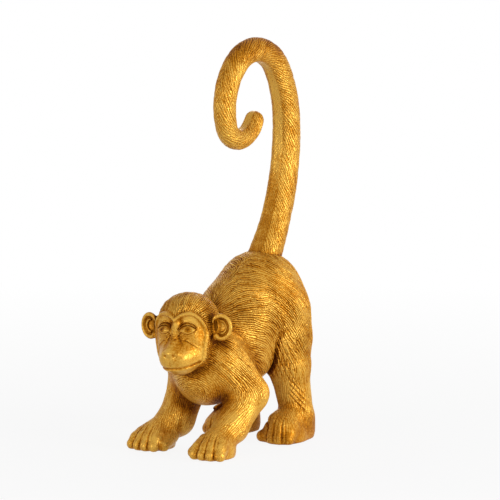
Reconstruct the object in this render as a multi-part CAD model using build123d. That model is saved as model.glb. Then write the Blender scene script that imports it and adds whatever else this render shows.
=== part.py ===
"""Cast figurine of a monkey on all fours, with its rump high and a tall curled tail.

The monkey looks along -Y, its left side is +X and +Z is up. Sizes are millimetres.
The castings are a hollow trunk, the head with its neck, four limbs and the tail. Steel
dowels pin the head and the limbs to the trunk, a bent rod runs through the tail into the
rump, a plug closes the pouring hole in the belly, and a felt pad lies under each palm and
sole. The castings are worked out about the middle of the stance, then all are moved so that
the origin is the bottom centre of the whole figurine.
"""

import os
from math import asin, cos, degrees, radians, sin, sqrt

from build123d import *

# Trunk: a spindle about an axis that climbs from the chest to the rump, with a belly that hangs below it
CHEST_FORWARD = 15.0
CHEST_HEIGHT = 61.0
TRUNK_PITCH = 39.0
CHEST_RADIUS = 26.0
WAIST_RADIUS = 35.0
RUMP_RADIUS = 34.5
CHEST_TO_WAIST = 54.0
CHEST_TO_RUMP = 85.0
TRUNK_WALL = 9.0
BELLY_ALONG = 36.0
BELLY_DROP = 9.0
BELLY_WIDTH = 62.0
BELLY_DEPTH = 70.0
BELLY_HEIGHT = 66.0

# Pouring hole in the belly
PLUG_ALONG = 40.0
PLUG_RADIUS = 11.0

# Dowels and the gap that the glue fills round them
DOWEL_RADIUS = 3.0
DOWEL_IN_TRUNK = 8.0
DOWEL_IN_LIMB = 14.0
GLUE_GAP = 0.1

# Head, about the middle of the braincase
HEAD_SIDE = 1.0
HEAD_FORWARD = 19.5
HEAD_RISE = 42.8
HEAD_YAW = 11.0
HEAD_ROLL = 3.0
BRAINCASE_WIDTH = 48.0
BRAINCASE_DEPTH = 45.0
BRAINCASE_HEIGHT = 42.6
FACE_WIDTH = 46.0
FACE_DEPTH = 30.6
FACE_HEIGHT = 42.0
FACE_FORWARD = 8.5
FACE_DROP = 13.0
JAW_WIDTH = 40.0
JAW_DEPTH = 28.0
JAW_HEIGHT = 24.0
JAW_FORWARD = 9.0
JAW_DROP = 25.0
MUZZLE_WIDTH = 28.4
MUZZLE_DEPTH = 27.0
MUZZLE_HEIGHT = 24.4
MUZZLE_FORWARD = 19.5
MUZZLE_DROP = 25.5
CHIN_WIDTH = 19.0
CHIN_DEPTH = 22.4
CHIN_HEIGHT = 12.8
CHIN_FORWARD = 16.5
CHIN_DROP = 33.2
NECK_RADIUS = 17.5
EYE_SPREAD = 19.0
EYE_DROP = 4.8
EYE_FORWARD = 18.0
EYE_RADIUS = 4.6
BROW_RADIUS = 9.5
BROW_THICKNESS = 3.6
BROW_RISE = 4.4
BROW_TURN = 30.0
NOSE_WIDTH = 9.0
NOSE_HEIGHT = 7.0
NOSE_RISE = 7.0
NOSE_SINK = 2.5
MOUTH_DROP = 7.0
MOUTH_GAP = 1.2
MOUTH_DEPTH = 1.4
EAR_SPREAD = 61.6
EAR_WIDTH = 16.8
EAR_HEIGHT = 19.2
EAR_THICKNESS = 5.5
EAR_SWEEP = 14.0
EAR_FORWARD = 4.5
EAR_DROP = 4.2
EAR_RIM = 2.6
EAR_ROOT_HEIGHT = 14.0

# Arms: joints from the shoulder down, with the right arm a little nearer the body
SHOULDER_ALONG = 8.0
SHOULDER_SIDE = 17.0
SHOULDER_RISE = 14.0
SHOULDER_RADIUS = 18.0
ELBOW_RADIUS = 14.0
FOREARM_RADIUS = 14.5
WRIST_RADIUS = 13.2
CARPUS_RADIUS = 12.8
LEFT_ELBOW = (32.5, -1.5, 45.5)
LEFT_WRIST = (29.5, -20.5, 22.0)
RIGHT_ELBOW = (-28.0, -3.0, 46.0)
RIGHT_WRIST = (-25.5, -20.5, 22.0)

# Hands: a palm, four fingers and a thumb on the inner side
LEFT_PALM = (29.5, -38.5)
RIGHT_PALM = (-31.5, -38.5)
LEFT_HAND_YAW = 14.0
RIGHT_HAND_YAW = 2.0
PALM_WIDTH = 29.0
PALM_LENGTH = 34.0
PALM_HEIGHT = 25.0
PALM_LIFT = 9.0
FINGER_RADIUS = 4.6
FINGER_PITCH = 6.4
FINGER_REACH = 18.0
THUMB_RADIUS = 5.2
THUMB_REACH = 9.0
THUMB_ROOT_SIDE = 10.5
THUMB_TIP_SIDE = 14.8
HAND_ROOT_RADIUS = 10.0
HAND_ROOT_LIFT = 12.5
KNUCKLE_RISE = 3.5

# Legs: joints from the hip down, the right foot a little nearer the middle
HIP_ALONG = 78.0
HIP_SIDE = 15.0
HIP_DROP = 13.0
HIP_RADIUS = 27.8
KNEE_RADIUS = 16.5
SHIN_RADIUS = 15.8
ANKLE_RADIUS = 12.8
LEFT_KNEE = (25.5, 55.5, 62.0)
LEFT_ANKLE = (29.5, 61.5, 20.0)
RIGHT_KNEE = (-24.0, 53.0, 62.0)
RIGHT_ANKLE = (-26.0, 60.0, 20.0)
INSTEP_TOP_RADIUS = 12.4
INSTEP_RADIUS = 12.0
INSTEP_FORWARD = 8.0
INSTEP_LIFT = 14.0

# Feet: a heel, a sole, four toes and a great toe on the inner side
LEFT_SOLE = (30.5, 48.0)
RIGHT_SOLE = (-26.0, 45.0)
LEFT_FOOT_YAW = 6.0
RIGHT_FOOT_YAW = -6.0
SOLE_WIDTH = 29.0
SOLE_LENGTH = 41.0
SOLE_HEIGHT = 21.0
SOLE_LIFT = 7.5
HEEL_RADIUS = 12.6
HEEL_BACK = 17.0
TOE_RADIUS = 4.3
TOE_PITCH = 6.2
TOE_REACH = 16.8
GREAT_TOE_RADIUS = 4.6
GREAT_TOE_REACH = 14.0
GREAT_TOE_ROOT_SIDE = 8.7
GREAT_TOE_TIP_SIDE = 15.9

# Fan of a row of fingers or toes: sideways shares at knuckle and tip, and how far the row curves back
KNUCKLE_SPREAD = 0.85
TIP_SPREAD = 1.1
KNUCKLE_SHARE = 0.45
ROW_CURVE = 0.25
TIP_LIFT = 0.75

# Felt pads, set in from the edge of each palm and sole
PAD_THICKNESS = 1.0
PAD_INSET = 2.5

# Tail: tangent arcs (bend radius, turn in degrees) from the root to the tip
TAIL_ALONG = 95.4
TAIL_RISE = 13.95
TAIL_LEAN = 29.0
TAIL_STRAIGHT = 22.0
TAIL_FOOT_BEND = 190.0
TAIL_UPPER_BEND = 90.0
TAIL_CREST_BEND = 32.0
TAIL_FALL_BEND = 48.0
TAIL_HOOK_BEND = 15.0
TAIL_TIP_BEND = 22.0
TAIL_BENDS = (
    (TAIL_FOOT_BEND, 30.5),
    (TAIL_UPPER_BEND, 28.5),
    (TAIL_CREST_BEND, 103.0),
    (TAIL_FALL_BEND, 64.0),
    (TAIL_HOOK_BEND, 78.0),
    (TAIL_TIP_BEND, 62.0),
)
TAIL_ROOT_RADIUS = 14.0
TAIL_SHAFT_RADIUS = 11.4
TAIL_TIP_RADIUS = 7.4
TAIL_FLARE_LENGTH = 55.0
TAIL_TAPER_POWER = 1.5
TAIL_STATION_STEP = 11.0
ROD_RADIUS = 2.5
ROD_TANG = 4.0
ROD_BENDS = 3

CUT_MARGIN = 200.0


def trunk_axis():
    """Unit direction of the trunk's axis, from the chest towards the rump."""
    return Vector(0, cos(radians(TRUNK_PITCH)), sin(radians(TRUNK_PITCH)))


def trunk_up():
    """Unit direction square to the trunk's axis, towards the back."""
    return Vector(0, -sin(radians(TRUNK_PITCH)), cos(radians(TRUNK_PITCH)))


def trunk_point(along, rise=0.0, side=0.0):
    """Point beside the trunk's axis: along it from the chest, square to it upwards, and to the left."""
    chest = Vector(0, -CHEST_FORWARD, CHEST_HEIGHT)
    return chest + trunk_axis() * along + trunk_up() * rise + Vector(side, 0, 0)


def ellipsoid(centre, width, depth, height):
    """Ball of two half shells, stretched to three full sizes along X, Y and Z."""
    outline = [
        CenterArc((0, 0), 0.5, -90, 90),
        CenterArc((0, 0), 0.5, 0, 90),
        Line((0, 0.5), (0, -0.5)),
    ]
    ball = revolve(Plane.XZ * make_face(outline), axis=Axis.Z, clean=False)
    return Pos(*centre) * scale(ball, by=(width, depth, height))


def spindle(inset):
    """Trunk drawn in by inset all round: chest ball, swelling side and rump ball, turned about its axis."""
    plane = Plane(origin=trunk_point(0), x_dir=trunk_axis(), z_dir=(1, 0, 0))
    chest = CHEST_RADIUS - inset
    rump = RUMP_RADIUS - inset
    outline = [
        CenterArc((0, 0), chest, 90, 90),
        Spline(
            (0, chest),
            (CHEST_TO_WAIST, WAIST_RADIUS - inset),
            (CHEST_TO_RUMP, rump),
            tangents=[(1, 0), (1, 0)],
        ),
        CenterArc((CHEST_TO_RUMP, 0), rump, 0, 90),
        Line((-chest, 0), (CHEST_TO_RUMP + rump, 0)),
    ]
    return revolve(plane * make_face(outline), axis=Axis(plane.origin, plane.x_dir))


def trunk_outside():
    """Whole outside of the trunk: the spindle and the belly that hangs below it."""
    belly = trunk_point(BELLY_ALONG, -BELLY_DROP)
    return spindle(0) + ellipsoid(belly, BELLY_WIDTH, BELLY_DEPTH, BELLY_HEIGHT)


def bone(start, start_radius, end, end_radius):
    """Tapered round bar with ball ends: two arcs and the line that touches both, turned about the bar."""
    start, end = Vector(*start), Vector(*end)
    along = end - start
    length = along.length
    lean = asin((start_radius - end_radius) / length)
    outline = [
        CenterArc((0, 0), start_radius, 90 - degrees(lean), 90 + degrees(lean)),
        Line(
            (start_radius * sin(lean), start_radius * cos(lean)),
            (length + end_radius * sin(lean), end_radius * cos(lean)),
        ),
        CenterArc((length, 0), end_radius, 0, 90 - degrees(lean)),
        Line((-start_radius, 0), (length + end_radius, 0)),
    ]
    plane = Plane(origin=start, x_dir=along, z_dir=along.cross(Vector(1, 0, 0)))
    return revolve(plane * make_face(outline), axis=Axis(plane.origin, plane.x_dir))


def rod_along(start, direction, radius, length):
    """Straight round bar from start along direction."""
    plane = Plane(origin=start, z_dir=direction)
    return plane * Cylinder(radius, length, align=(Align.CENTER, Align.CENTER, Align.MIN))


def fused(forms):
    """One solid from several that overlap, joined one after the other."""
    whole = forms[0]
    for form in forms[1:]:
        whole = whole + form
    return whole


def below_pads():
    """Everything under the top of the felt pads."""
    block = Box(CUT_MARGIN * 2, CUT_MARGIN * 2, CUT_MARGIN)
    return Pos(0, 0, PAD_THICKNESS - CUT_MARGIN / 2) * block


def past_middle(side):
    """Everything past the plane that parts the two legs, seen from one side."""
    block = Box(CUT_MARGIN, CUT_MARGIN * 2, CUT_MARGIN * 2)
    return Pos(side * (GLUE_GAP - CUT_MARGIN) / 2, 0, 0) * block


def sole_share(lift, height):
    """Share of a palm's or sole's full width that is left where the pad's top cuts it."""
    return sqrt(1 - ((lift - PAD_THICKNESS) / (height / 2)) ** 2)


def head_place():
    """Middle of the braincase, with the head's turn to its left and its roll to its right."""
    middle = (-HEAD_SIDE, -CHEST_FORWARD - HEAD_FORWARD, CHEST_HEIGHT + HEAD_RISE)
    return Location(middle, (0, 0, HEAD_YAW)) * Location((0, 0, 0), (0, -HEAD_ROLL, 0))


def ear(side):
    """Rounded ear on a short root, hollowed at the front and swept back."""
    root = ellipsoid((-side * EAR_WIDTH / 2, 0, 0), EAR_WIDTH, EAR_THICKNESS, EAR_ROOT_HEIGHT)
    shell = ellipsoid((0, 0, 0), EAR_WIDTH, EAR_THICKNESS, EAR_HEIGHT)
    hollow = ellipsoid(
        (0, -EAR_THICKNESS / 2, 0),
        EAR_WIDTH - 2 * EAR_RIM,
        EAR_THICKNESS,
        EAR_HEIGHT - 2 * EAR_RIM,
    )
    place = Location((side * EAR_SPREAD / 2, -EAR_FORWARD, -EAR_DROP), (0, 0, side * EAR_SWEEP))
    return place * (root + shell - hollow)


def eye_and_brow(side):
    """Eyeball with the rounded ridge that arches over it."""
    eye = Pos(side * EYE_SPREAD / 2, -EYE_FORWARD, -EYE_DROP)
    ring = Rot(0, 0, side * BROW_TURN) * Rot(90, 0, 0) * Torus(BROW_RADIUS, BROW_THICKNESS / 2)
    return eye * Sphere(EYE_RADIUS) + eye * Pos(0, 0, BROW_RISE) * ring


def muzzle(shrink):
    """Muzzle, drawn in by shrink all round."""
    return ellipsoid(
        (0, -MUZZLE_FORWARD, -MUZZLE_DROP),
        MUZZLE_WIDTH - 2 * shrink,
        MUZZLE_DEPTH - 2 * shrink,
        MUZZLE_HEIGHT - 2 * shrink,
    )


def mouth_cut():
    """Thin slot round the front half of the muzzle."""
    slab = Box(CUT_MARGIN, MUZZLE_DEPTH, MOUTH_GAP)
    front = Pos(0, -MUZZLE_FORWARD - MUZZLE_DEPTH / 2, -MUZZLE_DROP - MOUTH_DROP) * slab
    return front - muzzle(MOUTH_DEPTH)


def head_form():
    """Braincase, face, jaw, muzzle, chin, brows, eyes, nose and ears, in the head's own place."""
    forms = [
        ellipsoid((0, 0, 0), BRAINCASE_WIDTH, BRAINCASE_DEPTH, BRAINCASE_HEIGHT),
        ellipsoid((0, -FACE_FORWARD, -FACE_DROP), FACE_WIDTH, FACE_DEPTH, FACE_HEIGHT),
        ellipsoid((0, -JAW_FORWARD, -JAW_DROP), JAW_WIDTH, JAW_DEPTH, JAW_HEIGHT),
        muzzle(0),
        ellipsoid((0, -CHIN_FORWARD, -CHIN_DROP), CHIN_WIDTH, CHIN_DEPTH, CHIN_HEIGHT),
        ellipsoid(
            (0, NOSE_SINK - MUZZLE_FORWARD - MUZZLE_DEPTH / 2, NOSE_RISE - MUZZLE_DROP),
            NOSE_WIDTH,
            NOSE_HEIGHT,
            NOSE_HEIGHT,
        ),
    ]
    for side in (-1, 1):
        forms += [ear(side), eye_and_brow(side)]
    return head_place() * (fused(forms) - mouth_cut())


def neck_form():
    """Neck from the middle of the head down into the chest."""
    chest = trunk_point(0)
    along = Vector(*head_place().position) - chest
    return rod_along(chest, along, NECK_RADIUS, along.length)


def digits(count, pitch, reach, lift, radius, rise):
    """Row of fingers or toes that fan out towards -Y."""
    made = []
    for i in range(count):
        offset = (i - (count - 1) / 2) * pitch
        knuckle = (offset * KNUCKLE_SPREAD, -reach * KNUCKLE_SHARE, rise)
        tip = (offset * TIP_SPREAD, abs(offset) * ROW_CURVE - reach, lift)
        made.append(bone(knuckle, radius, tip, radius))
    return made


def hand_forms(palm, yaw, inner):
    """Palm with four fingers ahead and a thumb on the inner side."""
    tip_lift = FINGER_RADIUS + TIP_LIFT
    forms = [ellipsoid((0, 0, PALM_LIFT), PALM_WIDTH, PALM_LENGTH, PALM_HEIGHT)]
    forms += digits(4, FINGER_PITCH, FINGER_REACH, tip_lift, FINGER_RADIUS, PALM_LIFT + KNUCKLE_RISE)
    thumb_root = (inner * THUMB_ROOT_SIDE, THUMB_REACH / 2, PALM_LIFT)
    thumb_tip = (inner * THUMB_TIP_SIDE, -THUMB_REACH, tip_lift)
    forms.append(bone(thumb_root, THUMB_RADIUS, thumb_tip, THUMB_RADIUS))
    place = Location((palm[0], palm[1], 0), (0, 0, yaw))
    return [place * form for form in forms]


def foot_forms(sole, yaw, inner):
    """Heel and sole with four toes ahead and a great toe on the inner side."""
    tip_lift = TOE_RADIUS + TIP_LIFT
    forms = [
        ellipsoid((0, 0, SOLE_LIFT), SOLE_WIDTH, SOLE_LENGTH, SOLE_HEIGHT),
        ellipsoid((0, HEEL_BACK, HEEL_RADIUS - PAD_THICKNESS), *[2 * HEEL_RADIUS] * 3),
    ]
    forms += digits(4, TOE_PITCH, TOE_REACH, tip_lift, TOE_RADIUS, SOLE_LIFT + KNUCKLE_RISE)
    toe_root = (inner * GREAT_TOE_ROOT_SIDE, 0, SOLE_LIFT)
    toe_tip = (inner * GREAT_TOE_TIP_SIDE, -GREAT_TOE_REACH, tip_lift)
    forms.append(bone(toe_root, GREAT_TOE_RADIUS, toe_tip, GREAT_TOE_RADIUS))
    place = Location((sole[0], sole[1], 0), (0, 0, yaw))
    return [place * form for form in forms]


def pad_form(middle, yaw, width, length, lift, height):
    """Oval felt pad that stays inside the flat of a palm or sole."""
    share = sole_share(lift, height)
    oval = Ellipse(width / 2 * share - PAD_INSET, length / 2 * share - PAD_INSET)
    return Location((middle[0], middle[1], 0), (0, 0, yaw)) * extrude(oval, PAD_THICKNESS)


def arm_form(side, elbow, wrist, palm, yaw):
    """Arm from the shoulder inside the trunk down to the hand."""
    shoulder = trunk_point(SHOULDER_ALONG, SHOULDER_RISE, side * SHOULDER_SIDE)
    hand_root = (palm[0], palm[1], HAND_ROOT_LIFT)
    forms = [
        bone(elbow, FOREARM_RADIUS, wrist, WRIST_RADIUS),
        bone(wrist, CARPUS_RADIUS, hand_root, HAND_ROOT_RADIUS),
    ]
    return bone(shoulder, SHOULDER_RADIUS, elbow, ELBOW_RADIUS) + forms + hand_forms(palm, yaw, -side)


def leg_form(side, knee, ankle, sole, yaw):
    """Leg from the hip inside the trunk down to the foot, cut off at the middle between the legs."""
    hip = trunk_point(HIP_ALONG, -HIP_DROP, side * HIP_SIDE)
    instep = (sole[0], sole[1] - INSTEP_FORWARD, INSTEP_LIFT)
    forms = [
        bone(knee, SHIN_RADIUS, ankle, ANKLE_RADIUS),
        bone(ankle, INSTEP_TOP_RADIUS, instep, INSTEP_RADIUS),
    ]
    leg = bone(hip, HIP_RADIUS, knee, KNEE_RADIUS) + forms + foot_forms(sole, yaw, -side)
    return leg - past_middle(side)


def dowel_pair(along, limb_point):
    """Dowel that crosses from the trunk's wall into a limb, and the bore that holds it."""
    middle = trunk_point(along)
    direction = (Vector(*limb_point) - middle).normalized()
    surface = middle + direction * trunk_radius(along)
    start = surface - direction * DOWEL_IN_TRUNK
    length = DOWEL_IN_TRUNK + DOWEL_IN_LIMB
    bore_start = start - direction * GLUE_GAP
    dowel = rod_along(start, direction, DOWEL_RADIUS, length)
    bore = rod_along(bore_start, direction, DOWEL_RADIUS + GLUE_GAP, length + 2 * GLUE_GAP)
    return dowel, bore


def trunk_radius(along):
    """Radius of the trunk at a station between chest and rump, taken as straight between them."""
    if along < CHEST_TO_WAIST:
        share = along / CHEST_TO_WAIST
        return CHEST_RADIUS + share * (WAIST_RADIUS - CHEST_RADIUS)
    share = (along - CHEST_TO_WAIST) / (CHEST_TO_RUMP - CHEST_TO_WAIST)
    return WAIST_RADIUS + share * (RUMP_RADIUS - WAIST_RADIUS)


def tail_line():
    """Tail's middle line in the plane X = 0, as points with headings and distances from the root."""
    point = trunk_point(TAIL_ALONG, TAIL_RISE)
    heading = TAIL_LEAN
    distance = 0.0
    stations = [(point, heading, distance)]
    runs = [(TAIL_STRAIGHT, 0.0)] + [(radius * radians(turn), turn) for radius, turn in TAIL_BENDS]
    for length, turn in runs:
        steps = max(2, round(length / TAIL_STATION_STEP))
        for _ in range(steps):
            chord_heading = radians(heading - turn / steps / 2)
            half_turn = radians(turn / steps / 2)
            chord = length / steps * (sin(half_turn) / half_turn if half_turn else 1.0)
            point = point + Vector(0, sin(chord_heading), cos(chord_heading)) * chord
            heading -= turn / steps
            distance += length / steps
            stations.append((point, heading, distance))
    return stations


def tail_radius(distance, total):
    """Tail's radius: a flare that dies away from the root, then a slow taper to the tip."""
    taper = TAIL_SHAFT_RADIUS + (TAIL_TIP_RADIUS - TAIL_SHAFT_RADIUS) * (distance / total) ** TAIL_TAPER_POWER
    flare = max(0.0, 1 - distance / TAIL_FLARE_LENGTH) ** 2
    return taper + (TAIL_ROOT_RADIUS - TAIL_SHAFT_RADIUS) * flare


def tail_form():
    """Loft through circles along the tail's middle line, with a ball tip."""
    stations = tail_line()
    total = stations[-1][2]
    circles = []
    for point, heading, distance in stations:
        direction = (0, sin(radians(heading)), cos(radians(heading)))
        plane = Plane(origin=point, x_dir=(1, 0, 0), z_dir=direction)
        circles.append(plane * Circle(tail_radius(distance, total)))
    return loft(circles) + Pos(*stations[-1][0]) * Sphere(TAIL_TIP_RADIUS)


def rod_form(radius, tang):
    """Round rod along the first bends of the tail, with a straight tang below the tail's root."""
    root = trunk_point(TAIL_ALONG, TAIL_RISE)
    lean = Vector(0, sin(radians(TAIL_LEAN)), cos(radians(TAIL_LEAN)))
    path = Line(root - lean * tang, root + lean * TAIL_STRAIGHT)
    heading = TAIL_LEAN
    for bend_radius, turn in TAIL_BENDS[:ROD_BENDS]:
        end = path @ 1
        inward = Vector(0, -cos(radians(heading)), sin(radians(heading)))
        centre = end + inward * bend_radius
        spokes = []
        for share in (0.5, 1.0):
            angle = radians(heading - turn * share)
            spokes.append(centre - Vector(0, -cos(angle), sin(angle)) * bend_radius)
        path = path + ThreePointArc(end, *spokes)
        heading -= turn
    section = Plane(origin=path @ 0, x_dir=(1, 0, 0), z_dir=lean) * Circle(radius)
    return sweep(section, path=path)


def arm_of(side):
    """The left (1) or right (-1) arm before it is cut."""
    if side > 0:
        return arm_form(side, LEFT_ELBOW, LEFT_WRIST, LEFT_PALM, LEFT_HAND_YAW)
    return arm_form(side, RIGHT_ELBOW, RIGHT_WRIST, RIGHT_PALM, RIGHT_HAND_YAW)


def leg_of(side):
    """The left (1) or right (-1) leg before it is cut."""
    if side > 0:
        return leg_form(side, LEFT_KNEE, LEFT_ANKLE, LEFT_SOLE, LEFT_FOOT_YAW)
    return leg_form(side, RIGHT_KNEE, RIGHT_ANKLE, RIGHT_SOLE, RIGHT_FOOT_YAW)


def dowels():
    """Each dowel by node name, with its bore."""
    return {
        "neck_dowel": dowel_pair(0, head_place().position),
        "left_shoulder_dowel": dowel_pair(SHOULDER_ALONG, LEFT_ELBOW),
        "right_shoulder_dowel": dowel_pair(SHOULDER_ALONG, RIGHT_ELBOW),
        "left_hip_dowel": dowel_pair(HIP_ALONG, LEFT_KNEE),
        "right_hip_dowel": dowel_pair(HIP_ALONG, RIGHT_KNEE),
    }


def bore_of(name):
    """The bore of one dowel, made afresh for each cut."""
    return dowels()[name][1]


def tail_bore():
    """The bore that holds the tail's rod."""
    return rod_form(ROD_RADIUS + GLUE_GAP, ROD_TANG + GLUE_GAP)


def plug_bar(radius):
    """Round bar through the belly, from the trunk's axis downwards."""
    return rod_along(trunk_point(PLUG_ALONG), -trunk_up(), radius, WAIST_RADIUS * 2)


def trunk_wall():
    """The trunk's hollow shell before it is bored."""
    return trunk_outside() - spindle(TRUNK_WALL)


def trunk_part():
    """Trunk with its pouring hole and the bores for the dowels and the tail's rod."""
    trunk = trunk_wall() - plug_bar(PLUG_RADIUS + GLUE_GAP) - tail_bore()
    for dowel, bore in dowels().values():
        trunk = trunk - bore
    return trunk


def pads():
    """Felt pads by node name."""
    palm = (PALM_WIDTH, PALM_LENGTH, PALM_LIFT, PALM_HEIGHT)
    sole = (SOLE_WIDTH, SOLE_LENGTH, SOLE_LIFT, SOLE_HEIGHT)
    return {
        "left_palm_pad": pad_form(LEFT_PALM, LEFT_HAND_YAW, *palm),
        "right_palm_pad": pad_form(RIGHT_PALM, RIGHT_HAND_YAW, *palm),
        "left_sole_pad": pad_form(LEFT_SOLE, LEFT_FOOT_YAW, *sole),
        "right_sole_pad": pad_form(RIGHT_SOLE, RIGHT_FOOT_YAW, *sole),
    }


def make_parts():
    """Every piece by node name, about the middle of the stance."""
    parts = {
        "trunk": trunk_part(),
        "belly_plug": plug_bar(PLUG_RADIUS) & trunk_wall(),
        "head": head_form() + neck_form() - trunk_outside() - arm_of(1) - arm_of(-1) - bore_of("neck_dowel"),
        "left_arm": arm_of(1) - trunk_outside() - below_pads() - bore_of("left_shoulder_dowel"),
        "right_arm": arm_of(-1) - trunk_outside() - below_pads() - bore_of("right_shoulder_dowel"),
        "left_leg": leg_of(1) - trunk_outside() - below_pads() - bore_of("left_hip_dowel"),
        "right_leg": leg_of(-1) - trunk_outside() - below_pads() - bore_of("right_hip_dowel"),
        "tail": tail_form() - trunk_outside() - tail_bore(),
        "tail_rod": rod_form(ROD_RADIUS, ROD_TANG),
    }
    for name, (dowel, bore) in dowels().items():
        parts[name] = dowel
    return parts | pads()


def centred(parts):
    """All pieces moved so that the origin is the bottom centre of the box round them."""
    box = Compound(children=[Part(part.wrapped) for part in parts.values()]).bounding_box()
    middle = box.center()
    move = Pos(-middle.X, -middle.Y, -box.min.Z)
    print("moved by", -middle.X, -middle.Y, -box.min.Z)
    return {name: move * part for name, part in parts.items()}


def main():
    os.makedirs("parts", exist_ok=True)
    for name, part in centred(make_parts()).items():
        export_step(part, os.path.join("parts", name + ".step"))


main()
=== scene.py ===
import math

import bpy
import numpy as np
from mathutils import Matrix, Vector


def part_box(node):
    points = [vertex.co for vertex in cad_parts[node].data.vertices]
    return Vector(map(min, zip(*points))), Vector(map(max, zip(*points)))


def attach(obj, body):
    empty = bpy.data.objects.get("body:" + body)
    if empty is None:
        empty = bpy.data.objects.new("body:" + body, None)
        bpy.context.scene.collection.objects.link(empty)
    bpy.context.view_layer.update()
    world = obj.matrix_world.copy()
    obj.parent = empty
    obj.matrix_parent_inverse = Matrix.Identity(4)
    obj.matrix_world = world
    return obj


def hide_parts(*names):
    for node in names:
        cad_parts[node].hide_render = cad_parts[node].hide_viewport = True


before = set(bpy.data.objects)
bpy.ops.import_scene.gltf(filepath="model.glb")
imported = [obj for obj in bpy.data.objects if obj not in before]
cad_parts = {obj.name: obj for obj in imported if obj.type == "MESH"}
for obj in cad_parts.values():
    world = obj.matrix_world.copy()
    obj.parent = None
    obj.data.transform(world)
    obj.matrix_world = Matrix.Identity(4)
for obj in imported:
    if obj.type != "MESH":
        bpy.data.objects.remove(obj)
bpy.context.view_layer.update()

# Gold-painted resin monkey on all fours. Lengths are millimetres in the sculptor's frame until a mesh is
# made: the monkey looks along -Y, its left side is +X, and the line between its hands and feet is X = 0.
MM = 0.001
LEFT, RIGHT = 1, -1
SIDEWAYS = np.array((1.0, 0.0, 0.0))

# Trunk: a spindle from chest to rump, pitched up towards the tail. Places on it are (along, rise, side).
CHEST = np.array((0.0, -15.0, 61.0))
TRUNK_PITCH = math.radians(39)
TRUNK_AXIS = np.array((0.0, math.cos(TRUNK_PITCH), math.sin(TRUNK_PITCH)))
TRUNK_UP = np.array((0.0, -math.sin(TRUNK_PITCH), math.cos(TRUNK_PITCH)))
CHEST_RADIUS, WAIST_RADIUS, RUMP_RADIUS = 24.5, 35.0, 34.5
WAIST, RUMP = (58.0, 0.0, -0.5), (85.0, 0.0, -0.5)
BREAST, BREAST_RADII = (2.0, -2.0, 0.0), (23.0, 25.0, 25.5)
BELLY, BELLY_RADII = (36.0, -9.0, 0.0), (32.0, 35.0, 33.0)
PLUG_ALONG, PLUG_RADIUS = 40.0, 10.9
PLUG_PROUD, PLUG_DEPTH = 0.5, 8.5
PLUG_CELL = 0.4
SHOULDER, SHOULDER_RADIUS = (8.0, 14.0, 17.0), 18.0
HIP, HIP_RADIUS = (78.0, -13.0, 15.0), 27.4

# Head, seen from the middle of the skull
HEAD = np.array((-1.0, -34.5, 103.8))
HEAD_YAW = math.radians(11)
HEAD_ROLL = math.radians(3)
SKULL, SKULL_RADII = (0.0, 0.5, 0.0), (24.0, 22.5, 21.3)
CHEEKS, CHEEK_RADII = (0.0, -8.5, -13.0), (23.0, 15.3, 21.0)
JAW, JAW_RADII = (0.0, -9.0, -25.0), (20.0, 14.0, 12.0)
MUZZLE, MUZZLE_RADII = (0.0, -19.5, -25.5), (14.2, 13.5, 12.2)
CHIN, CHIN_RADII = (0.0, -16.5, -33.2), (11.5, 11.8, 6.6)
NECK_ROOT, NECK_ROOT_RADIUS, NECK_TOP_RADIUS = (6.0, 8.0, 0.0), 19.5, 16.5
EAR_OUT, EAR_FORWARD, EAR_HEIGHT = 30.8, -4.5, -4.2
EAR_TURN = math.radians(14)

# Face, laid flat as (way round from the middle line, height)
FACE_WRAP = 21.0
EYE_OUT, EYE_HEIGHT, EYE_SLANT = 9.3, -4.8, 0.04
EYE_HALF_WIDTH, EYE_HALF_HEIGHT = 5.9, 3.1
IRIS_OUT, IRIS_HEIGHT = 9.9, -4.5
BROW_OUT, BROW_HEIGHT, BROW_REACH = 11.0, 8.4, 14.3
MOUTH_HEIGHT, MOUTH_CURVE = -33.6, 0.0145
# Edge of the bare face: how far round the head it lies at each height
EDGE_HEIGHTS = (-40.0, -36.0, -31.6, -27.0, -18.0, -14.0, -7.6, 1.3)
EDGE_WIDTHS = (9.0, 13.8, 18.7, 21.6, 22.2, 22.8, 25.3, 25.3)

# Limbs, by side. A forearm's radii are at the upper arm's end, the elbow, the wrist and the hand's root.
ARMS = {
    LEFT: {"elbow": (32.5, -1.5, 45.5), "wrist": (29.5, -20.5, 22), "palm": (29.5, -38.5, 0),
           "yaw": math.radians(14), "forearm": (13.8, 14.2, 12.8, 12.6)},
    RIGHT: {"elbow": (-28, -3, 46), "wrist": (-25.5, -20.5, 22), "palm": (-31.5, -38.5, 0),
            "yaw": math.radians(2), "forearm": (14.4, 15.2, 14, 13)},
}
LEGS = {
    LEFT: {"knee": (25.5, 55.5, 62), "ankle": (29.5, 61.5, 20), "sole": (30.5, 48, 0),
           "yaw": math.radians(6)},
    RIGHT: {"knee": (-24, 53, 62), "ankle": (-26, 60, 20), "sole": (-26, 45, 0),
            "yaw": math.radians(-6)},
}
THIGH_RADIUS, KNEE_RADIUS = 23.6, 16.0
SHIN_TOP_RADIUS, SHIN_FOOT_RADIUS = 15.8, 12.8
ANKLE_RADIUS, INSTEP_RADIUS = 12.4, 12.0
PALM_TOP, PALM_TOP_RADIUS = 12.5, 10.0
PAD_THICKNESS, PAD_EDGE = 1.0, 1.2

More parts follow.
